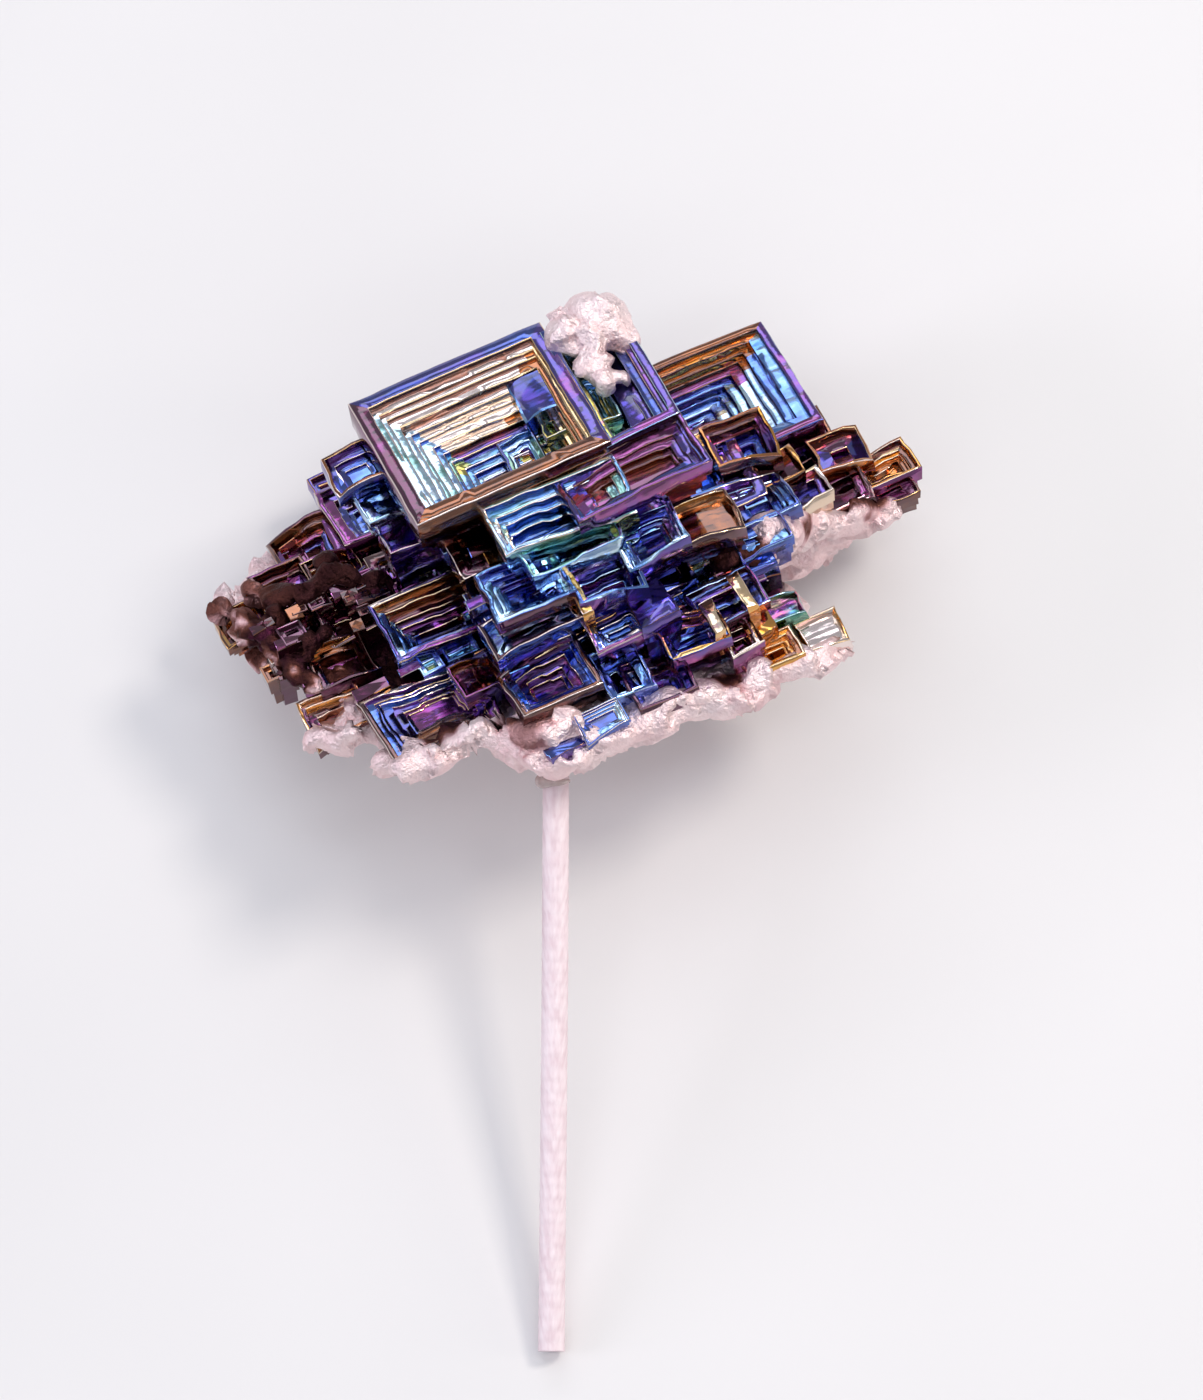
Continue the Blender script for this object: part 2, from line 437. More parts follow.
def calc(operation, *values):
    """Adds a maths node, for vectors if one of the values is a vector."""
    fields = [v for v in values if isinstance(v, Field)]
    vectors = any(f.is_vector for f in fields) or any(isinstance(v, tuple) for v in values)
    kind = "ShaderNodeVectorMath" if vectors else "ShaderNodeMath"
    output = 1 if operation == "DOT_PRODUCT" else 0
    return add(fields[0].tree, kind, dict(enumerate(values)), output, operation=operation)


def summed(start, *parts):
    """A start value plus each field times its weight."""
    for field, weight in parts:
        start = calc("MULTIPLY_ADD", field, weight, start)
    return start


def new_tree(name, numbers, counts=(), takes_mesh=False):
    """Geometry tree with named inputs. Returns it and its inputs as fields by name."""
    tree = bpy.data.node_groups.new(name, "GeometryNodeTree")
    sockets = [("Mesh", "Geometry")] * takes_mesh
    sockets += [(label, "Float") for label in numbers] + [(label, "Int") for label in counts]
    for label, kind in sockets:
        tree.interface.new_socket(label, in_out="INPUT", socket_type=f"NodeSocket{kind}")
    tree.interface.new_socket("Mesh", in_out="OUTPUT", socket_type="NodeSocketGeometry")
    given = tree.nodes.new("NodeGroupInput")
    return tree, {label: Field(given.outputs[label]) for label, _ in sockets}


def finish_tree(geometry, material, smooth=None):
    """Ends a tree with real geometry, its shading where given, and its material."""
    tree = geometry.tree
    real = add(tree, "GeometryNodeRealizeInstances", {0: geometry})
    if smooth is not None:
        real = add(tree, "GeometryNodeSetShadeSmooth", {"Geometry": real, "Shade Smooth": smooth})
    painted = add(tree, "GeometryNodeSetMaterial", {"Geometry": real, "Material": material})
    fill(tree.nodes.new("NodeGroupOutput"), {0: painted})
    return tree


def repeated(geometry, count, grow):
    """Applies grow(geometry, turn) that many times."""
    tree = geometry.tree
    enter = tree.nodes.new("GeometryNodeRepeatInput")
    leave = tree.nodes.new("GeometryNodeRepeatOutput")
    enter.pair_with_output(leave)
    fill(enter, {"Iterations": count, "Geometry": geometry})
    fill(leave, {"Geometry": grow(Field(enter.outputs["Geometry"]),
                                  Field(enter.outputs["Iteration"]))})
    return Field(leave.outputs["Geometry"])


def grown(name, tree, values, base=None):
    """Evaluates a tree on a base mesh and returns the plain mesh."""
    obj = shown(name, base or bpy.data.meshes.new(name))
    mod = obj.modifiers.new("growth", "NODES")
    mod.node_group = tree
    sockets = {s.name: s for s in tree.interface.items_tree if s.in_out == "INPUT"}
    for label, value in values.items():
        mod[sockets[label].identifier] = value
    graph = bpy.context.evaluated_depsgraph_get()
    mesh = bpy.data.meshes.new_from_object(obj.evaluated_get(graph))
    bpy.data.objects.remove(obj)
    return mesh


# ---------------------------------------------------------------- growth rules

def hopper_tree(material):
    """A hopper crystal: terraces stepping down inside a rim, a collar, and ledges below it."""
    tree, g = new_tree("stepped_hopper", (
        "Length", "Width", "Height", "Depth", "Rim", "Floor", "Drift X", "Drift Y", "Collar",
        "Ledge", "Edge", "Wobble", "Jog", "Slump"), ("Terraces", "Ledges", "Cuts", "Seed"))
    edge, seed = g["Edge"], g["Seed"]
    outline = add(tree, "GeometryNodeCurvePrimitiveQuadrilateral", {
        "Width": g["Length"] - edge * 2.0, "Height": g["Width"] - edge * 2.0})
    cut_up = add(tree, "GeometryNodeSubdivideCurve", {"Curve": outline, "Cuts": g["Cuts"]})
    face = add(tree, "GeometryNodeFillCurve", {0: cut_up}, mode="NGONS")
    corners = add(tree, "GeometryNodeInputMeshFaceNeighbors", output="Vertex Count")
    cap = add(tree, "FunctionNodeCompare", {"A_INT": corners, "B_INT": 4}, data_type="INT",
              operation="GREATER_THAN")

    spot = add(tree, "GeometryNodeInputPosition")
    down = add(tree, "ShaderNodeCombineXYZ", {2: -1.0})
    half_x, half_y = g["Length"] * 0.5, g["Width"] * 0.5

    def spans(inset):
        """Half the length and half the width of a step, that far inside the outline."""
        return half_x - inset, half_y - inset

    def extruded(mesh, drop):
        """Cap pushed down by drop, with new walls round it."""
        return add(tree, "GeometryNodeExtrudeMesh", {
            "Mesh": mesh, "Selection": cap, "Offset": down, "Offset Scale": drop,
            "Individual": False}, "Mesh")

    def resized(mesh, new, old, new_centre=None, old_centre=None):
        """Cap taken from its old spans and centre to new ones."""
        factor = add(tree, "ShaderNodeCombineXYZ", {
            0: new[0] / old[0], 1: new[1] / old[1], 2: 1.0})
        shift = new_centre - old_centre * factor if new_centre else (0.0, 0.0, 0.0)
        return add(tree, "GeometryNodeSetPosition", {
            "Geometry": mesh, "Selection": cap, "Position": spot * factor + shift})

    shorter = calc("MINIMUM", half_x, half_y)
    run = shorter * (1.0 - g["Floor"]) - g["Rim"]
    tread = run / calc("MAXIMUM", g["Terraces"] - 1.0, 1.0)
    even_riser = g["Depth"] / calc("MAXIMUM", g["Terraces"], 1.0)
    drift = add(tree, "ShaderNodeCombineXYZ", {0: g["Drift X"], 1: g["Drift Y"]})

    def sway(count, pace):
        """Makes steps uneven: a wave along the count of steps that starts at zero."""
        start = seed * pace
        return calc("SINE", calc("MULTIPLY_ADD", count, pace, start)) - calc("SINE", start)

    def reached(count):
        """How far inside the outline a terrace begins."""
        return calc("MULTIPLY_ADD", summed(count, (sway(count, 2.1), 0.25)), tread, g["Rim"])

    def terrace(mesh, turn):
        riser = even_riser * summed(1.0, (sway(turn, 1.7), 0.3))
        is_later = calc("MINIMUM", turn, 1.0)
        before = is_later * reached(turn - 1.0)
        after = reached(turn)
        wide = spans(after)
        old_centre = drift * calc("MAXIMUM", turn - 1.0, 0.0)
        centre = drift * turn
        mesh = resized(extruded(mesh, 0.0), wide, spans(before + edge), centre, old_centre)
        mesh = resized(extruded(mesh, edge), spans(after + edge), wide, centre, centre)
        return extruded(mesh, riser - edge)

    def ledge(mesh, turn):
        inset = turn * g["Ledge"]
        drop = (g["Height"] - g["Collar"]) / calc("MAXIMUM", g["Ledges"], 1.0)
        mesh = resized(extruded(mesh, 0.0), spans(inset + g["Ledge"]), spans(inset))
        return extruded(mesh, drop)

    recess = repeated(face, g["Terraces"], terrace)
    # collar and ledges, from the same outline turned over
    under = add(tree, "GeometryNodeFlipFaces", {0: face})
    body = resized(extruded(under, edge), (half_x, half_y), spans(edge))
    body = repeated(extruded(body, g["Collar"] - edge), g["Ledges"], ledge)
    both = tree.nodes.new("GeometryNodeJoinGeometry")
    for part in (body, recess):
        fill(both, {0: part})
    closed = add(tree, "GeometryNodeMergeByDistance", {
        "Geometry": Field(both.outputs[0]), "Distance": WELD})

    # uneven growth: soft waves, and square jogs of whole patches
    place = spot + seed * 7.31
    waves = add(tree, "ShaderNodeTexNoise", {"Vector": place, "Scale": 0.45, "Detail": 2.0}, "Color")
    soft = (waves - MIDDLE) * (g["Wobble"] * (1.0, 1.0, 0.3))
    patch = calc("SNAP", place, JOG_PATCH)
    flat = add(tree, "ShaderNodeTexWhiteNoise", {"Vector": patch}, "Color", noise_dimensions="3D")
    square = (flat - MIDDLE) * (g["Jog"] * (1.0, 1.0, 0.4))
    # one side of the rim grew less than the others, and curves away
    bearing = seed * 2.6
    uphill = add(tree, "ShaderNodeCombineXYZ", {
        0: calc("COSINE", bearing) / half_x, 1: calc("SINE", bearing) / half_y})
    reach = calc("MAXIMUM", calc("DOT_PRODUCT", spot, uphill), 0.0)
    fall = reach * reach * g["Slump"] * (0.0, 0.0, -1.0)
    uneven = add(tree, "GeometryNodeSetPosition", {
        "Geometry": closed, "Offset": soft + square + fall})
    return finish_tree(uneven, material, smooth=False)


def melt_tree(material):
    """Drops of metal run together into one skin with a lumpy surface."""
    tree, g = new_tree("melted_skin", ("Voxel", "Lump Size", "Lump Height", "Facets"),
                       takes_mesh=True)
    drops = add(tree, "GeometryNodeMeshToPoints", {"Mesh": g["Mesh"]})
    radius = add(tree, "GeometryNodeInputNamedAttribute", {"Name": "drop"})
    body = add(tree, "GeometryNodePointsToVolume", {
        "Points": drops, "Density": 1.0, "Voxel Size": g["Voxel"], "Radius": radius},
        resolution_mode="VOXEL_SIZE")
    skin = add(tree, "GeometryNodeVolumeToMesh", {"Volume": body, "Threshold": 0.1})
    spot = add(tree, "GeometryNodeInputPosition")
    eased = add(tree, "GeometryNodeBlurAttribute", {"Value": spot, "Iterations": 5}, "Value",
                data_type="FLOAT_VECTOR")
    smooth = add(tree, "GeometryNodeSetPosition", {"Geometry": skin, "Position": eased})
    lumps = add(tree, "ShaderNodeTexNoise", {
        "Vector": spot, "Scale": calc("DIVIDE", 1.0, g["Lump Size"]), "Detail": 1.5}, "Color")
    lumpy = add(tree, "GeometryNodeSetPosition", {
        "Geometry": smooth, "Offset": (lumps - MIDDLE) * (g["Lump Height"] * 2.0)})
    # flat facets: each cell of the skin is tilted its own way
    cells = add(tree, "ShaderNodeTexVoronoi", {
        "Vector": spot, "Scale": calc("DIVIDE", 0.8, g["Lump Size"])}, "Color")
    middle = Field(cells.socket.node.outputs["Position"])
    slant = calc("DOT_PRODUCT", cells - MIDDLE, spot - middle) * g["Facets"]
    along = add(tree, "GeometryNodeInputNormal", output="Normal")
    faceted = add(tree, "GeometryNodeSetPosition", {"Geometry": lumpy, "Offset": along * slant})
    return finish_tree(faceted, material, smooth=True)


def scatter_tree(material, sprouts):
    """Small crystals scattered over the surfaces between the large ones, all turned alike."""
    tree, g = new_tree("small_crystals", ("Density", "Smallest", "Largest"), ("Seed",),
                       takes_mesh=True)
    points = add(tree, "GeometryNodeDistributePointsOnFaces", {
        "Mesh": g["Mesh"], "Density": g["Density"], "Seed": g["Seed"]}, "Points")
    kinds = add(tree, "GeometryNodeCollectionInfo", {
        "Collection": sprouts, "Separate Children": True, "Reset Children": True})
    size = add(tree, "FunctionNodeRandomValue", {
        "Min_001": g["Smallest"], "Max_001": g["Largest"], "Seed": g["Seed"]}, "Value")
    twist = add(tree, "FunctionNodeRandomValue", {
        "Min": (-0.05, -0.05, -0.06), "Max": (0.05, 0.05, 0.06), "Seed": g["Seed"]}, "Value",
        data_type="FLOAT_VECTOR")
    own, small = (add(tree, "FunctionNodeEulerToRotation", {0: turn})
                  for turn in (tuple(lattice().to_euler()), twist))
    turned = add(tree, "FunctionNodeRotateRotation", {"Rotation": own, "Rotate By": small},
                 rotation_space="LOCAL")
    standing = add(tree, "GeometryNodeInstanceOnPoints", {
        "Points": points, "Instance": kinds, "Pick Instance": True, "Rotation": turned,
        "Scale": size})
    hue = add(tree, "FunctionNodeRandomValue", {"Min_001": -0.12, "Max_001": 0.22, "Seed": 5},
              "Value")

    def stored(geometry, name, value, domain):
        return add(tree, "GeometryNodeStoreNamedAttribute", {
            "Geometry": geometry, "Name": name, "Value": value}, data_type="FLOAT", domain=domain)

    tinted = stored(standing, "hue", hue, "INSTANCE")
    real = add(tree, "GeometryNodeRealizeInstances", {0: tinted})
    # the film is brown at the cluster's two ends
    own_film, own_hue = (add(tree, "GeometryNodeInputNamedAttribute", {"Name": name})
                         for name in ("film", "hue"))
    film = own_film + own_hue
    brown = calc("MULTIPLY_ADD", film, 0.22, 0.20)
    spot = add(tree, "GeometryNodeInputPosition")
    along = calc("DOT_PRODUCT", spot, (1.0 / END_BLEND, 0.0, 0.0))
    beyond = calc("MAXIMUM", calc("MULTIPLY_ADD", along, -1.0, LEFT_END / END_BLEND),
                  along - RIGHT_END / END_BLEND)
    share = calc("MINIMUM", calc("MAXIMUM", beyond, 0.0), 1.0)
    film = calc("MULTIPLY_ADD", brown - film, share, film)
    return finish_tree(stored(real, "film", film, "FACE"), material)


def rod_tree(material):
    """A round stick swept along its line, a little uneven, with fine rings across it."""
    tree, g = new_tree("round_stick", ("Radius", "Ring Pitch", "Ring Height"),
                       ("Sides", "Rings"), takes_mesh=True)
    line = add(tree, "GeometryNodeMeshToCurve", {0: g["Mesh"]})
    fine = add(tree, "GeometryNodeResampleCurve", {"Curve": line, "Count": g["Rings"]})
    spot = add(tree, "GeometryNodeInputPosition")
    along = calc("DOT_PRODUCT", spot, (0.0, 0.0, 1.0))
    wave = calc("SINE", along * math.tau / g["Ring Pitch"])
    slow = add(tree, "ShaderNodeTexNoise", {"Vector": spot, "Scale": 0.35, "Detail": 1.0})
    radius = g["Radius"] + (slow - 0.5) * 0.05 + wave * g["Ring Height"]
    shaped = add(tree, "GeometryNodeSetCurveRadius", {"Curve": fine, "Radius": radius})
    ring = add(tree, "GeometryNodeCurvePrimitiveCircle", {"Resolution": g["Sides"], "Radius": 1.0})
    swept = add(tree, "GeometryNodeCurveToMesh", {
        "Curve": shaped, "Profile Curve": ring, "Scale": add(tree, "GeometryNodeInputRadius"),
        "Fill Caps": True})
    return finish_tree(swept, material)


# ---------------------------------------------------------------- materials

def linear(hex_colour):
    """sRGB hex to linear RGBA."""
    parts = [int(hex_colour[k:k + 2], 16) / 255.0 for k in (1, 3, 5)]
    lin = [c / 12.92 if c <= 0.04045 else ((c + 0.055) / 1.055) ** 2.4 for c in parts]
    return (*lin, 1.0)


def new_material(name):
    """Material, its tree, and the place in millimetres as a field."""
    mat = bpy.data.materials.new(name)
    mat.use_nodes = True
    tree = mat.node_tree
    place = add(tree, "ShaderNodeTexCoord", output="Object") * (1000.0, 1000.0, 1000.0)
    return mat, tree, place


def noise_at(place, size_mm, detail=2.0):
    """Noise from 0 to 1 with features of about that size."""
    return add(place.tree, "ShaderNodeTexNoise", {
        "Vector": place, "Scale": 1.0 / size_mm, "Detail": detail})


def uneven_at(place, size_mm, detail=2.0):
    """The same noise, round zero."""
    return noise_at(place, size_mm, detail) - 0.5


def ramp(value, stops):
    """Colours, or greys given as numbers, along a value."""
    made = value.tree.nodes.new("ShaderNodeValToRGB")
    points = made.color_ramp.elements
    for k, (place, colour) in enumerate(stops):
        point = points[k] if k < 2 else points.new(place)
        point.position = place
        point.color = linear(colour) if isinstance(colour, str) else (colour,) * 3 + (1.0,)
    fill(made, {0: value})
    return Field(made.outputs[0])


def crystal_place(place, spans):
    """Place measured along the crystals' own directions, each divided by its span."""
    axes = laid_turn() @ lattice()
    return add(place.tree, "ShaderNodeCombineXYZ", {
        k: calc("DOT_PRODUCT", place, tuple(axes.col[k])) / span for k, span in enumerate(spans)})


def oxide_material():
    """Bismuth under an oxide film: its thickness sets the colour, its streaks follow growth."""
    mat, tree, place = new_material("oxidised_bismuth")
    film = add(tree, "ShaderNodeAttribute", output="Fac", attribute_name="film")
    patchy = uneven_at(place, 1.1, 3.0)
    streaks = uneven_at(crystal_place(place, (5.0, 0.45, 0.45)), 1.0)
    change = summed(1.0, (uneven_at(place, 5.0), 0.45), (patchy, 0.14), (streaks, 0.12))
    ribs = noise_at(crystal_place(place, (5.0, 0.6, 0.6)), 1.0, 1.0)
    height = summed(noise_at(place, 0.28, 3.0) * 0.004, (ribs, 0.05),
                    (noise_at(place, 1.9, 1.0), 0.17))
    fill(tree.nodes["Principled BSDF"], {
        "Base Color": ramp(summed(film * change, (patchy, 0.03)), FILM_COLOURS),
        "Roughness": ramp(noise_at(place, 1.6, 4.0), ((0.3, 0.07), (0.75, 0.22))),
        "Normal": add(tree, "ShaderNodeBump", {
            "Height": height, "Distance": MM, "Strength": 0.9}),
        "Metallic": 1.0,
        "Coat Weight": 0.8, "Coat Roughness": 0.06, "Coat IOR": 1.8})
    return mat


def bare_material():
    """Bare bismuth of the crust: pinkish silver, lumpy, with thin brown and violet films."""
    mat, tree, place = new_material("bare_bismuth")
    stored = add(tree, "ShaderNodeAttribute", output="Fac", attribute_name="film")
    film = summed(stored, (uneven_at(place, 4.0, 3.0), 0.16), (uneven_at(place, 0.9, 3.0), 0.08))
    height = summed(noise_at(place, 0.25, 3.0) * 0.13, (noise_at(place, 0.9, 5.0), 0.50))
    fill(tree.nodes["Principled BSDF"], {
        "Base Color": ramp(film, BARE_COLOURS),
        "Roughness": ramp(noise_at(place, 1.3, 4.0), ((0.3, 0.42), (0.7, 0.66))),
        "Normal": add(tree, "ShaderNodeBump", {
            "Height": height, "Distance": MM, "Strength": 0.9}),
        "Metallic": 1.0})
    return mat


def stick_material():
    """Pale pinkish stick: matt, slightly fibrous, greyer where the metal touches it."""
    mat, tree, place = new_material("pale_stick")
    grain = noise_at(place * (1.0, 0.05, 1.0), 0.35)
    colour = ramp(grain, ((0.30, "#E0C9CE"), (0.5, "#EAD7DB"), (0.72, "#F2E3E6")))
    stain = add(tree, "ShaderNodeAttribute", output="Fac", attribute_name="stain")
    mixed = add(tree, "ShaderNodeMix", {
        "Factor_Float": stain, "A_Color": colour, "B_Color": linear("#A98D92")}, 2,
        data_type="RGBA")
    height = summed(noise_at(place, 0.12) * 0.01, (grain, 0.025))
    fill(tree.nodes["Principled BSDF"], {
        "Base Color": mixed, "Roughness": ramp(grain, ((0.2, 0.42), (0.8, 0.62))),
        "Normal": add(tree, "ShaderNodeBump", {
            "Height": height, "Distance": MM, "Strength": 0.6})})
    return mat


def glue_material():
    """Clear glue: glassy, faintly cloudy."""
    mat, tree, place = new_material("clear_glue")
    cloud = noise_at(place, 0.6)
    fill(tree.nodes["Principled BSDF"], {
        "Base Color": ramp(cloud, ((0.3, "#EBDCD7"), (0.7, "#D6C1BB"))),
        "Roughness": ramp(cloud, ((0.3, 0.06), (0.8, 0.22))),
        "Normal": add(tree, "ShaderNodeBump", {
            "Height": cloud, "Distance": MM * 0.1, "Strength": 0.5}),
        "Transmission Weight": 0.45, "IOR": 1.49})
    return mat


def floor_material():
    """Matt off-white board."""
    mat, tree, place = new_material("matt_board")
    tone = ramp(noise_at(place, 60.0), ((0.3, "#DBD9D8"), (0.7, "#E1DFDE")))
    fill(tree.nodes["Principled BSDF"], {"Base Color": tone, "Roughness": 0.75})
    return mat


# ---------------------------------------------------------------- meshes and films

def mesh_of(name, verts, faces=(), edges=()):
    mesh = bpy.data.meshes.new(name)
    mesh.from_pydata(verts, edges, faces)
    return mesh


def shown(name, mesh):
    obj = bpy.data.objects.new(name, mesh)
    bpy.context.scene.collection.objects.link(obj)
    return obj


def placed(name, mesh, place):
    mesh.transform(place)
    mesh.update()
    return shown(name, mesh)


def at(place, centre, frame3):
    return place @ (Matrix.Translation(Vector(centre)) @ frame3.to_4x4())


def array_of(items, key):
    """One vector per vertex or face as an array."""
    values = np.empty(len(items) * 3)
    items.foreach_get(key, values)
    return values.reshape(-1, 3)


def store(mesh, name, values, domain):
    """Stores a number on each point or face, over any that is there under that name."""
    layer = mesh.attributes.get(name) or mesh.attributes.new(name, "FLOAT", domain)
    layer.data.foreach_set("value", np.asarray(values, dtype=np.float32))


def film_on(mesh, size, depth, terraces, films, seed):
    """Film of each face: four rims, four walls running to the floor's film, and the outside."""
    rims, walls, floor, outside = films
    centres, normals = array_of(mesh.polygons, "center"), array_of(mesh.polygons, "normal")
    half = np.array(size[:2]) / 2.0
    gaps = half - np.abs(centres[:, :2])
    by_x = gaps[:, 0] < gaps[:, 1]
    side = np.where(by_x, np.where(centres[:, 0] < 0, 0, 1), np.where(centres[:, 1] > 0, 2, 3))
    share = np.clip(-centres[:, 2] / max(depth, 0.1), 0.0, 1.0)
    inner = np.clip((share - FLOOR_FILM_FROM) / FLOOR_FILM_BLEND, 0.0, 1.0)
    film = np.array(walls)[side] * (1.0 - inner) + np.broadcast_to(floor, 4)[side] * inner
    rng = np.random.default_rng(seed)
    stripes = rng.uniform(-STRIPE, STRIPE, (4, terraces * 2 + 4))
    level = np.clip((share * terraces).round().astype(int), 0, terraces + 1)
    film = film + stripes[side, level]

    # risers carry a thinner film than treads, but a thicker one where the metal is nearly bare
    is_tread = normals[:, 2] > 0.9
    on_bare = np.where(share < 0.3, 0.24, 0.05)
    change = np.where(film < 0.1, on_bare, np.where(film < 0.2, -0.02, -0.11))
    film = np.where(is_tread, film, film + change)

    def per_side(values):
        return (np.broadcast_to(values, 4) + rng.uniform(-SIDE_STRAY, SIDE_STRAY, 4))[side]

    film = np.where(is_tread & (centres[:, 2] > -RIM_DEPTH), per_side(rims), film)
    outward = (normals[:, :2] * centres[:, :2]).sum(1) > 0.0
    outer = outward & (np.abs(normals[:, 2]) < 0.5) & (gaps.min(1) < 0.45 * half.min())
    film = np.where(outer | (normals[:, 2] < -0.5), per_side(outside), film)
    bevel = (np.abs(normals[:, 2]) > 0.3) & (np.abs(normals[:, 2]) < 0.9)
    blue_edge, brown_edge = EDGE_FILMS[seed % len(EDGE_FILMS)]
    return np.where(bevel, np.where(film > 0.38, blue_edge, brown_edge), film)


def hopper_mesh(tree, name, size, depth, terraces, rim, films, seed, most_slump=LARGEST_SLUMP,
                drift=None, uneven=1.0):
    """One crystal in its own frame, with its film, which is worked out on its even shape."""
    length, width, height = size
    side = min(length, width)
    ledges = max(2, round(height * LEDGED_SHARE / LEDGE_HEIGHT))
    narrow, wide_from, wide = TAPER_SHARES
    few, many_from, many = FLOOR_SHARES
    fewest, most = RIM_CUTS
    sway = DRIFT_SHARE * side
    drift_x, drift_y = drift or (sway * math.sin(seed * DRIFT_PHASES[0]),
                                 sway * math.cos(seed * DRIFT_PHASES[1]))
    values = {
        "Length": length, "Width": width, "Height": height, "Depth": depth,
        "Terraces": terraces, "Rim": rim, "Floor": many if terraces > many_from else few,
        "Drift X": drift_x, "Drift Y": drift_y, "Collar": height * COLLAR_SHARE,
        "Ledges": ledges, "Ledge": side * (wide if side > wide_from else narrow) / ledges,
        "Edge": 0.03 + 0.004 * side,
        "Cuts": int(min(most, max(fewest, max(length, width) / RIM_CUT))),
        "Wobble": WOBBLE * uneven, "Jog": JOG * uneven,
        "Slump": min(most_slump, SLUMP_SHARE * side), "Seed": seed,
    }
    even = grown(name + "_even", tree, {**values, "Wobble": 0.0, "Jog": 0.0, "Slump": 0.0})
    mesh = grown(name, tree, values)
    store(mesh, "film", film_on(even, size, depth, terraces, films, seed), "FACE")
    return mesh


def joined(name, parts, material):
    """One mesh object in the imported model's frame from (mesh, matrix) pairs."""
    verts, faces, film = [], [], []
    for mesh, matrix in parts:
        start = len(verts)
        for vert in mesh.vertices:
            spot = matrix @ vert.co
            verts.append((spot.x, spot.y, max(spot.z, 0.0)))  # none below what it lies on
        faces += [[start + i for i in p.vertices] for p in mesh.polygons]
        film += [value.value for value in mesh.attributes["film"].data]
    whole = mesh_of(name, verts, faces)
    store(whole, "film", film, "FACE")
    whole.materials.append(material)
    whole.shade_smooth()
    whole.set_sharp_from_angle(angle=SHARP)
    return shown(name, whole)


# ---------------------------------------------------------------- pieces

def crystal_groups(tree, place, material):
    """All the large crystals, as one piece per side of the cluster."""
    groups = {"front_crystals": FRONT_CRYSTALS, "left_crystals": LEFT_CRYSTALS,
              "right_crystals": RIGHT_CRYSTALS, "inner_crystals": INNER_CRYSTALS,
              "rear_crystals": REAR_CRYSTALS}

    def four(film, *changes):
        return film if isinstance(film, tuple) else tuple(film + c for c in changes)

    made = []
    seed = 0
    for group, rows in groups.items():
        parts = []
        for name, (*centre, length, width, height, steps, rim, wall, floor, outside) in rows.items():
            seed += 1
            if rows is REAR_CRYSTALS:
                centre = CRUST_CENTRE + crust_frame() @ Vector(centre)
            films = (four(rim, 0.0, -0.03, 0.05, 0.0), four(wall, 0.0, 0.04, -0.05, 0.02),
                     floor, outside)
            mesh = hopper_mesh(tree, name, (length, width, height),
                               height * RECESS_SHARE * min(steps, 3) / 3.0, steps,
                               min(length, width) * RIM_SHARE, films, seed)
            twisted = lattice(MISFIT * math.sin(seed * TWIST_PHASES[0]),
                              MISFIT * math.cos(seed * TWIST_PHASES[1]))
            parts.append((mesh, at(place, centre, twisted)))
        made.append(joined(group, parts, material))
    parts = []
    for seed, (name, row) in enumerate(LARGE_HOPPERS.items(), LARGE_SEED):
        centre, size, depth, steps, rim, drift, *films = row
        mesh = hopper_mesh(tree, name, size, depth, steps, rim, films, seed, 0.25, drift, 0.4)
        parts.append((mesh, at(place, centre, lattice())))
    made.append(joined("large_hoppers", parts, material))
    return made


def core(tree, place, material):
    """What the large crystals stand on, and the two feet the cluster lies on."""
    parts = []
    for seed, (centre, size, film) in enumerate(CORE_BLOCKS, CORE_SEED):
        rim = Vector(centre) + lattice() @ Vector((0.0, 0.0, size[2] / 2.0))
        films = ((film,) * 4, (film,) * 4, film + 0.08, film - 0.05)
        mesh = hopper_mesh(tree, f"core_{seed}", size, 1.6, 4, 0.8, films, seed)
        parts.append((mesh, at(place, rim, lattice())))
    upright = laid_turn().inverted()
    floor_level = min((laid_turn() @ c).z for c in rod_corners())
    for seed, (x, along, *size, outside) in enumerate(FEET, FOOT_SEED):
        top = upright @ Vector((x, along, floor_level + size[2]))
        films = ((0.45,) * 4, (0.45,) * 4, 0.5, outside)
        mesh = hopper_mesh(tree, f"foot_{seed}", size, 0.0, 0, 0.4, films, seed)
        parts.append((mesh, at(place, top, upright)))
    return joined("inner_blocks", parts, material)


def melted(name, tree, drops, voxel, lump_size, lump_height, facets):
    """Skin round drops given as centre and radius."""
    base = mesh_of(name + "_drops", [d[:3] for d in drops])
    store(base, "drop", [d[3] for d in drops], "POINT")
    return grown(name + "_skin", tree, {
        "Voxel": voxel, "Lump Size": lump_size, "Lump Height": lump_height, "Facets": facets}, base)


def outline_radius(angle):
    """Distance from the crust's centre to its edge, at an angle in degrees."""
    angle %= 360.0
    return next(r0 + (r1 - r0) * (angle - a0) / (a1 - a0)
                for (a0, r0), (a1, r1) in zip(CRUST_OUTLINE[:-1], CRUST_OUTLINE[1:])
                if a0 <= angle <= a1)


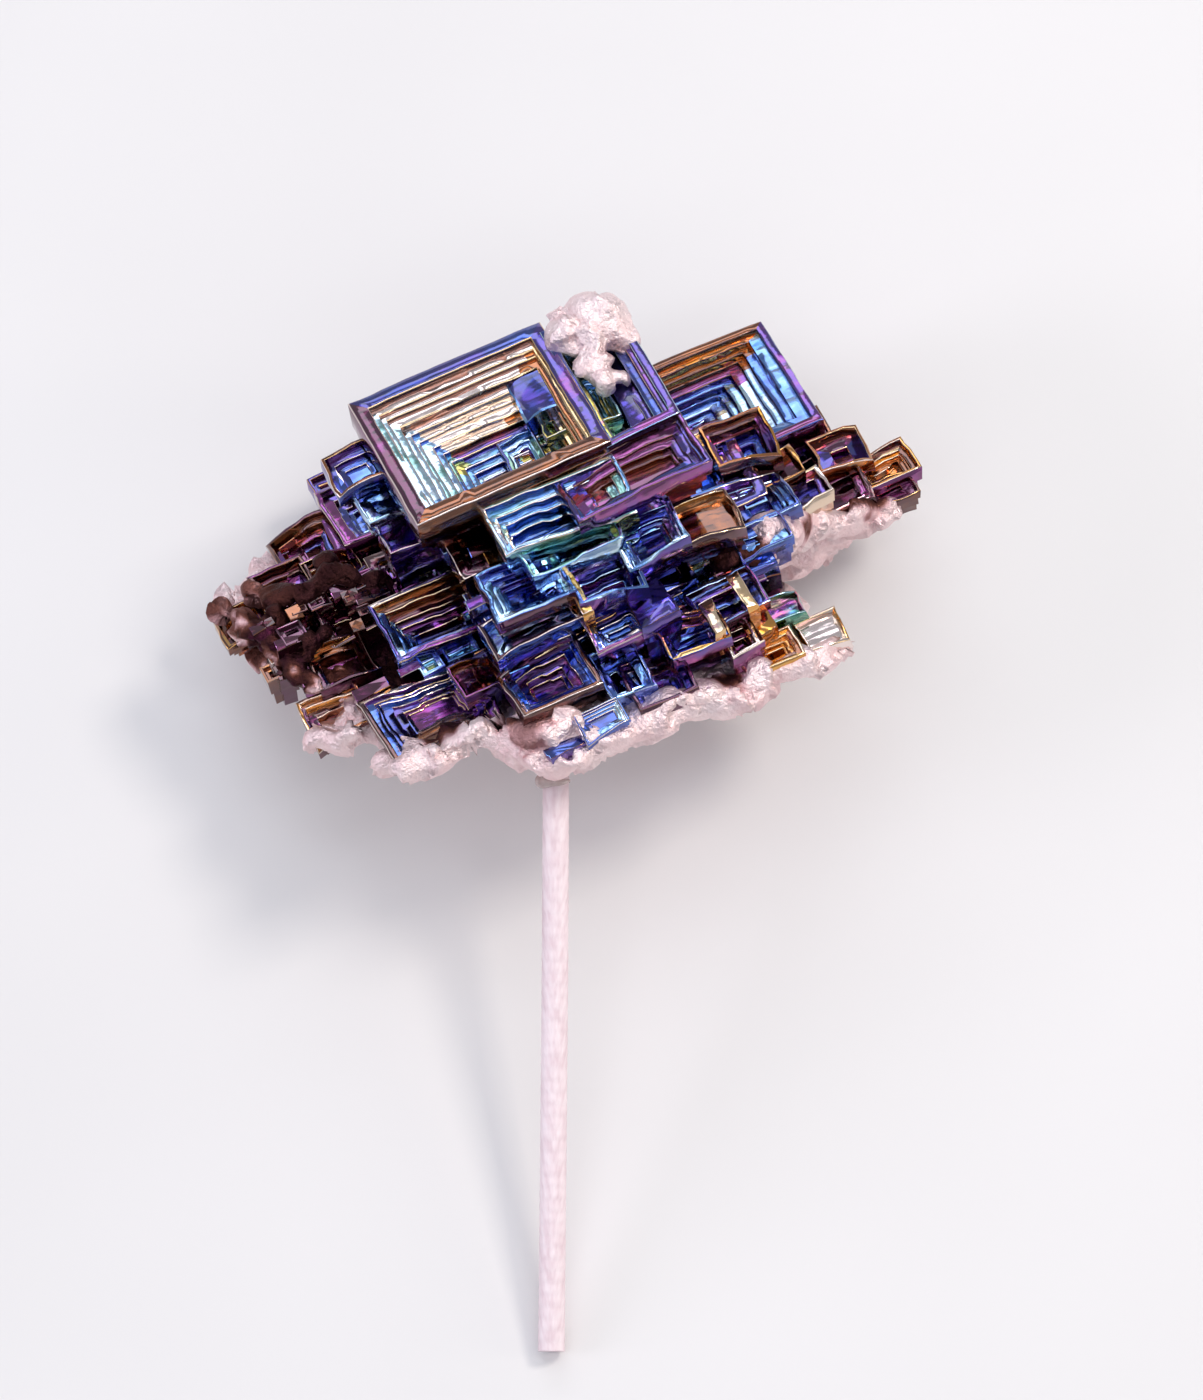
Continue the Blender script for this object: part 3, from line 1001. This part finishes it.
def crust_drops():
    """Drops filling the crust's outline, a ring of them on its edge, its lips and lumps."""
    frame3 = crust_frame()
    drops = []

    def put(x, y, radius, lift=0.0):
        uneven = noise.noise(Vector((x * 0.45, y * 0.45, 3.0)))
        spot = CRUST_CENTRE + frame3 @ Vector((x, y, 0.5 * uneven + lift))
        drops.append((*spot, radius * (1.0 + 0.25 * noise.noise(Vector((x, y, 8.0)) * 0.6))))

    steps = int(max(reach for _, reach in CRUST_OUTLINE) / DROP_SPACING) + 1
    for i in range(-steps, steps + 1):
        for j in range(-steps, steps + 1):
            x = (i + 0.5 * (j % 2)) * DROP_SPACING
            y = j * DROP_SPACING * 0.87
            room = outline_radius(math.degrees(math.atan2(y, x))) - math.hypot(x, y)
            if room > CRUST_DROP:
                put(x, y, CRUST_DROP)
                if room > CRUST_DROP + 3.0:
                    put(x, y, CRUST_DROP * 1.1, -1.5)
    for k in range(EDGE_DROPS):
        angle = 360.0 * k / EDGE_DROPS
        reach = outline_radius(angle) - CRUST_DROP * 0.8
        put(reach * math.cos(math.radians(angle)), reach * math.sin(math.radians(angle)),
            CRUST_DROP * 0.85)
    for points, radius in LIPS:
        for p, q in zip(points[:-1], points[1:]):
            for k in range(LIP_DROPS):
                spot = Vector(p).lerp(Vector(q), k / LIP_DROPS)
                drops.append((*spot, radius * (1.0 + 0.3 * noise.noise(spot * 0.9))))
    return drops + list(FOOT_DROPS) + list(BROWN_DROPS)


def crust(tree, place):
    """The crust, bare along its edge and oxidised where the crystals stand on it."""
    mesh = melted("crust", tree, crust_drops(), 0.34, 2.0, 0.40, 0.8)
    spots = array_of(mesh.vertices, "co")
    local = (spots - np.array(CRUST_CENTRE)) @ np.array(crust_frame())
    angles = np.degrees(np.arctan2(local[:, 1], local[:, 0]))
    edge = np.array([outline_radius(a) for a in angles]) - np.hypot(local[:, 0], local[:, 1])
    inner = np.clip((edge - BARE_EDGE) / FILM_CHANGE, 0.0, 1.0)
    inner *= np.clip(local[:, 2] - 0.2, 0.0, 1.0)  # its underside stays bare too
    film = CRUST_FILMS[0] + (CRUST_FILMS[1] - CRUST_FILMS[0]) * inner
    ragged = np.array([0.45 * noise.noise(Vector(spot) * 0.8) for spot in spots])
    for centre, radius, thickness in CRUST_STAINS:
        away = np.linalg.norm((spots - np.array(centre)) / radius, axis=1) + ragged
        film += (thickness - film) * np.clip(3.0 - 3.0 * away, 0.0, 1.0)
    store(mesh, "film", film, "POINT")
    return placed("crust", mesh, place)


def top_lump(tree, place):
    """The rounded lump of bare metal on the largest crystal."""
    mesh = melted("lump", tree, TOP_DROPS, 0.22, 1.9, 0.26, 0.5)
    store(mesh, "film", np.full(len(mesh.vertices), 0.01), "POINT")
    return placed("top_lump", mesh, place)


def quads_mesh(name, corners):
    """Mesh of loose four-sided faces from a flat list of their corners."""
    return mesh_of(name, corners, [range(k, k + 4) for k in range(0, len(corners), 4)])


def growth_surfaces():
    """Rough surfaces that the small crystals sprout from, upright."""
    verts = []

    def quad(centre, u, v):
        verts.extend(tuple(Vector(centre) + u * a + v * b)
                     for a, b in ((-1, -1), (1, -1), (1, 1), (-1, 1)))

    length, width, opening = lattice().col
    for centre, size, _ in CORE_BLOCKS:
        half = [s / 2.0 for s in size]
        quad(Vector(centre) + opening * (half[2] - BLOCK_INSET), length * half[0], width * half[1])
        quad(Vector(centre) - width * (half[1] - BLOCK_INSET), length * half[0], opening * half[2])
    right, uphill, _ = crust_frame().col
    for x, y, half_x, half_y in CRUST_PATCHES:
        quad(CRUST_CENTRE + crust_frame() @ Vector((x, y, 1.9)), right * half_x, uphill * half_y)
    quad((-17.0, -4.4, 11.2), length * 4.8, width * 2.2)
    return quads_mesh("growth_surfaces", verts)


def rims_seen():
    """Centre, half length and half width of every large crystal seen from the front."""
    for rows in (FRONT_CRYSTALS, LEFT_CRYSTALS, RIGHT_CRYSTALS):
        for x, y, z, length, width, *_ in rows.values():
            yield Vector((x, y, z)), length / 2.0, width / 2.0
    for centre, (length, width, _), *_ in LARGE_HOPPERS.values():
        yield Vector(centre), length / 2.0, width / 2.0


def gap_surfaces():
    """Patches a little behind the large crystals' rims, left open where a large one stands."""
    frame3 = lattice()
    into = frame3.transposed()
    verts = []
    for centre, half_length, half_width in GAPS:
        columns, rows = int(half_length * 2.0 / GAP_CELL), int(half_width * 2.0 / GAP_CELL)
        for i in range(columns):
            for j in range(rows):
                corner = Vector((i * GAP_CELL - half_length, j * GAP_CELL - half_width, 0.0))
                spot = Vector(centre) + frame3 @ corner
                offs = ((into @ (spot - c), a, b) for c, a, b in rims_seen())
                if not any(abs(o.x) < a + 0.1 and abs(o.y) < b + 0.1 for o, a, b in offs):
                    verts += [tuple(spot + frame3 @ Vector((a, b, 0.0)) * GAP_CELL)
                              for a, b in ((0, 0), (1, 0), (1, 1), (0, 1))]
    return quads_mesh("gap_surfaces", verts)


def small_crystals(hoppers, place, material):
    """Small hoppers on the crust and, larger, in the gaps between the main crystals."""
    kinds = bpy.data.collections.new("sprouts")
    for k, (length, width, height, steps, film) in enumerate(SPROUTS):
        films = ((film - 0.06,) * 4, (film,) * 4, film + 0.1, film)
        mesh = grown(f"sprout_{k}", hoppers, {
            "Length": length, "Width": width, "Height": height, "Depth": 0.5 * min(steps, 1),
            "Terraces": steps, "Rim": 0.08, "Floor": 0.3, "Collar": height * 0.5, "Ledges": 1,
            "Ledge": 0.1, "Edge": 0.03, "Cuts": 1, "Seed": k, "Wobble": 0.05, "Jog": 0.0,
            "Slump": 0.1, "Drift X": 0.02, "Drift Y": -0.02})
        film = film_on(mesh, (length, width, height), 0.5, max(steps, 1), films, k)
        store(mesh, "film", film, "FACE")
        kinds.objects.link(bpy.data.objects.new(f"sprout_{k}", mesh))
    tree = scatter_tree(material, kinds)
    pieces = []
    for name, density, low, high, seed, base in (
            ("small_crystals", 0.42, 0.7, 1.8, 11, growth_surfaces()),
            ("gap_crystals", 0.5, 1.0, 2.3, 23, gap_surfaces())):
        values = {"Density": density, "Smallest": low, "Largest": high, "Seed": seed}
        pieces.append(placed(name, grown(name + "_grown", tree, values, base), place))
    for obj in list(kinds.objects):
        bpy.data.objects.remove(obj)
    bpy.data.collections.remove(kinds)
    return pieces


def stick(place, material):
    """The rod, leaning a hair to the left on its way down."""
    x, y = ROD_CENTRE
    line = mesh_of("stick_line", [(x, y, ROD_DEPTH), (x - 0.08, y, -15.0),
                                  (x - 0.33, y, -ROD_LENGTH)], edges=[(0, 1), (1, 2)])
    mesh = grown("stick_skin", rod_tree(material), {
        "Radius": ROD_RADIUS - 0.02, "Sides": 48, "Rings": 420, "Ring Pitch": 0.85,
        "Ring Height": 0.012}, line)
    heights = array_of(mesh.vertices, "co")[:, 2]
    store(mesh, "stain", np.clip((heights - STAIN_FROM) / STAIN_BLEND, 0.0, 1.0) * 0.5, "POINT")
    for vert in mesh.vertices:
        if vert.co.z < -ROD_LENGTH + 0.01:
            vert.co.z -= ROD_CUT_SLOPE * (vert.co.y - y)
    mesh.shade_smooth()
    mesh.set_sharp_from_angle(angle=ROD_SHARP)
    return placed("rod", mesh, place)


def glue(tree, place):
    """A ragged ring of glue where the rod meets the crust."""
    x, y = ROD_CENTRE
    drops = []
    for k in range(GLUE_DROPS):
        angle = math.tau * k / GLUE_DROPS
        uneven = noise.noise(Vector((math.cos(angle), math.sin(angle), 2.0)) * 1.3)
        full = 0.5 - 0.5 * math.cos(angle)  # thickest at the left
        reach = 0.98 + 0.06 * uneven
        drops.append((x + reach * math.cos(angle), y + reach * math.sin(angle),
                      -0.8 - 0.2 * uneven, 0.15 + 0.30 * full))
    drops.append((x - 1.0, y - 0.5, -0.8, 0.55))
    return placed("glue_ring", melted("glue", tree, drops, 0.09, 0.9, 0.06, 0.0), place)


# ---------------------------------------------------------------- studio

def camera_at(place):
    """Camera looking straight at the cluster's front."""
    target = place @ Vector((3.25, -10.0, 5.0))
    right, back, up = (laid_turn() @ Vector(v) for v in ((1, 0, 0), (0, -1, 0), (0, 0, 1)))
    camera = bpy.data.cameras.new("camera")
    camera.sensor_width = SENSOR
    camera.sensor_fit = "HORIZONTAL"
    camera.lens = SENSOR * CAMERA_DISTANCE / VIEW_WIDTH
    camera.clip_start = 0.01
    seat = shown("camera", camera)
    axes = Matrix((right, up, back)).transposed()
    seat.matrix_world = Matrix.Translation(target + back * CAMERA_DISTANCE) @ axes.to_4x4()
    bpy.context.scene.camera = seat


def studio(place):
    """Pale floor, soft lamps and the camera."""
    floor_mesh = mesh_of("floor", [(-1.5, -1.5, 0), (1.5, -1.5, 0), (1.5, 1.5, 0), (-1.5, 1.5, 0)],
                         [(0, 1, 2, 3)])
    floor_mesh.materials.append(floor_material())
    shown("floor", floor_mesh)
    camera_at(place)

    middle = place @ Vector((0.0, -5.0, 15.0))
    for name, (offset, size, power, colour) in LAMPS.items():
        data = bpy.data.lights.new(name, "AREA")
        data.shape = "RECTANGLE"
        data.size, data.size_y = size
        data.energy = power
        data.color = linear(colour)[:3]
        lamp = shown(name, data)
        lamp.location = middle + Vector(offset)
        lamp.rotation_mode = "QUATERNION"
        lamp.rotation_quaternion = (middle - lamp.location).to_track_quat("-Z", "Y")

    world = bpy.data.worlds.new("studio")
    world.use_nodes = True
    fill(world.node_tree.nodes["Background"], {"Color": linear("#C9CDD6"), "Strength": 0.72})
    bpy.context.scene.world = world
    bpy.context.scene.view_settings.view_transform = "Standard"


def main():
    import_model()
    place = laid_place()
    oxide = oxide_material()
    hoppers = hopper_tree(oxide)
    melt = melt_tree(bare_material())
    metal = crystal_groups(hoppers, place, oxide)
    metal.append(core(hoppers, place, oxide))
    metal += small_crystals(hoppers, place, oxide)
    metal.append(crust(melt, place))
    metal.append(top_lump(melt, place))
    rod = stick(place, stick_material())
    bead = glue(melt_tree(glue_material()), place)
    for piece in metal:
        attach(piece, "root")
        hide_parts("bismuth_crystal")
    for piece, node in ((rod, "holding_rod"), (bead, "glue_bead")):
        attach(piece, "root")
        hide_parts(node)
    studio(place)


main()
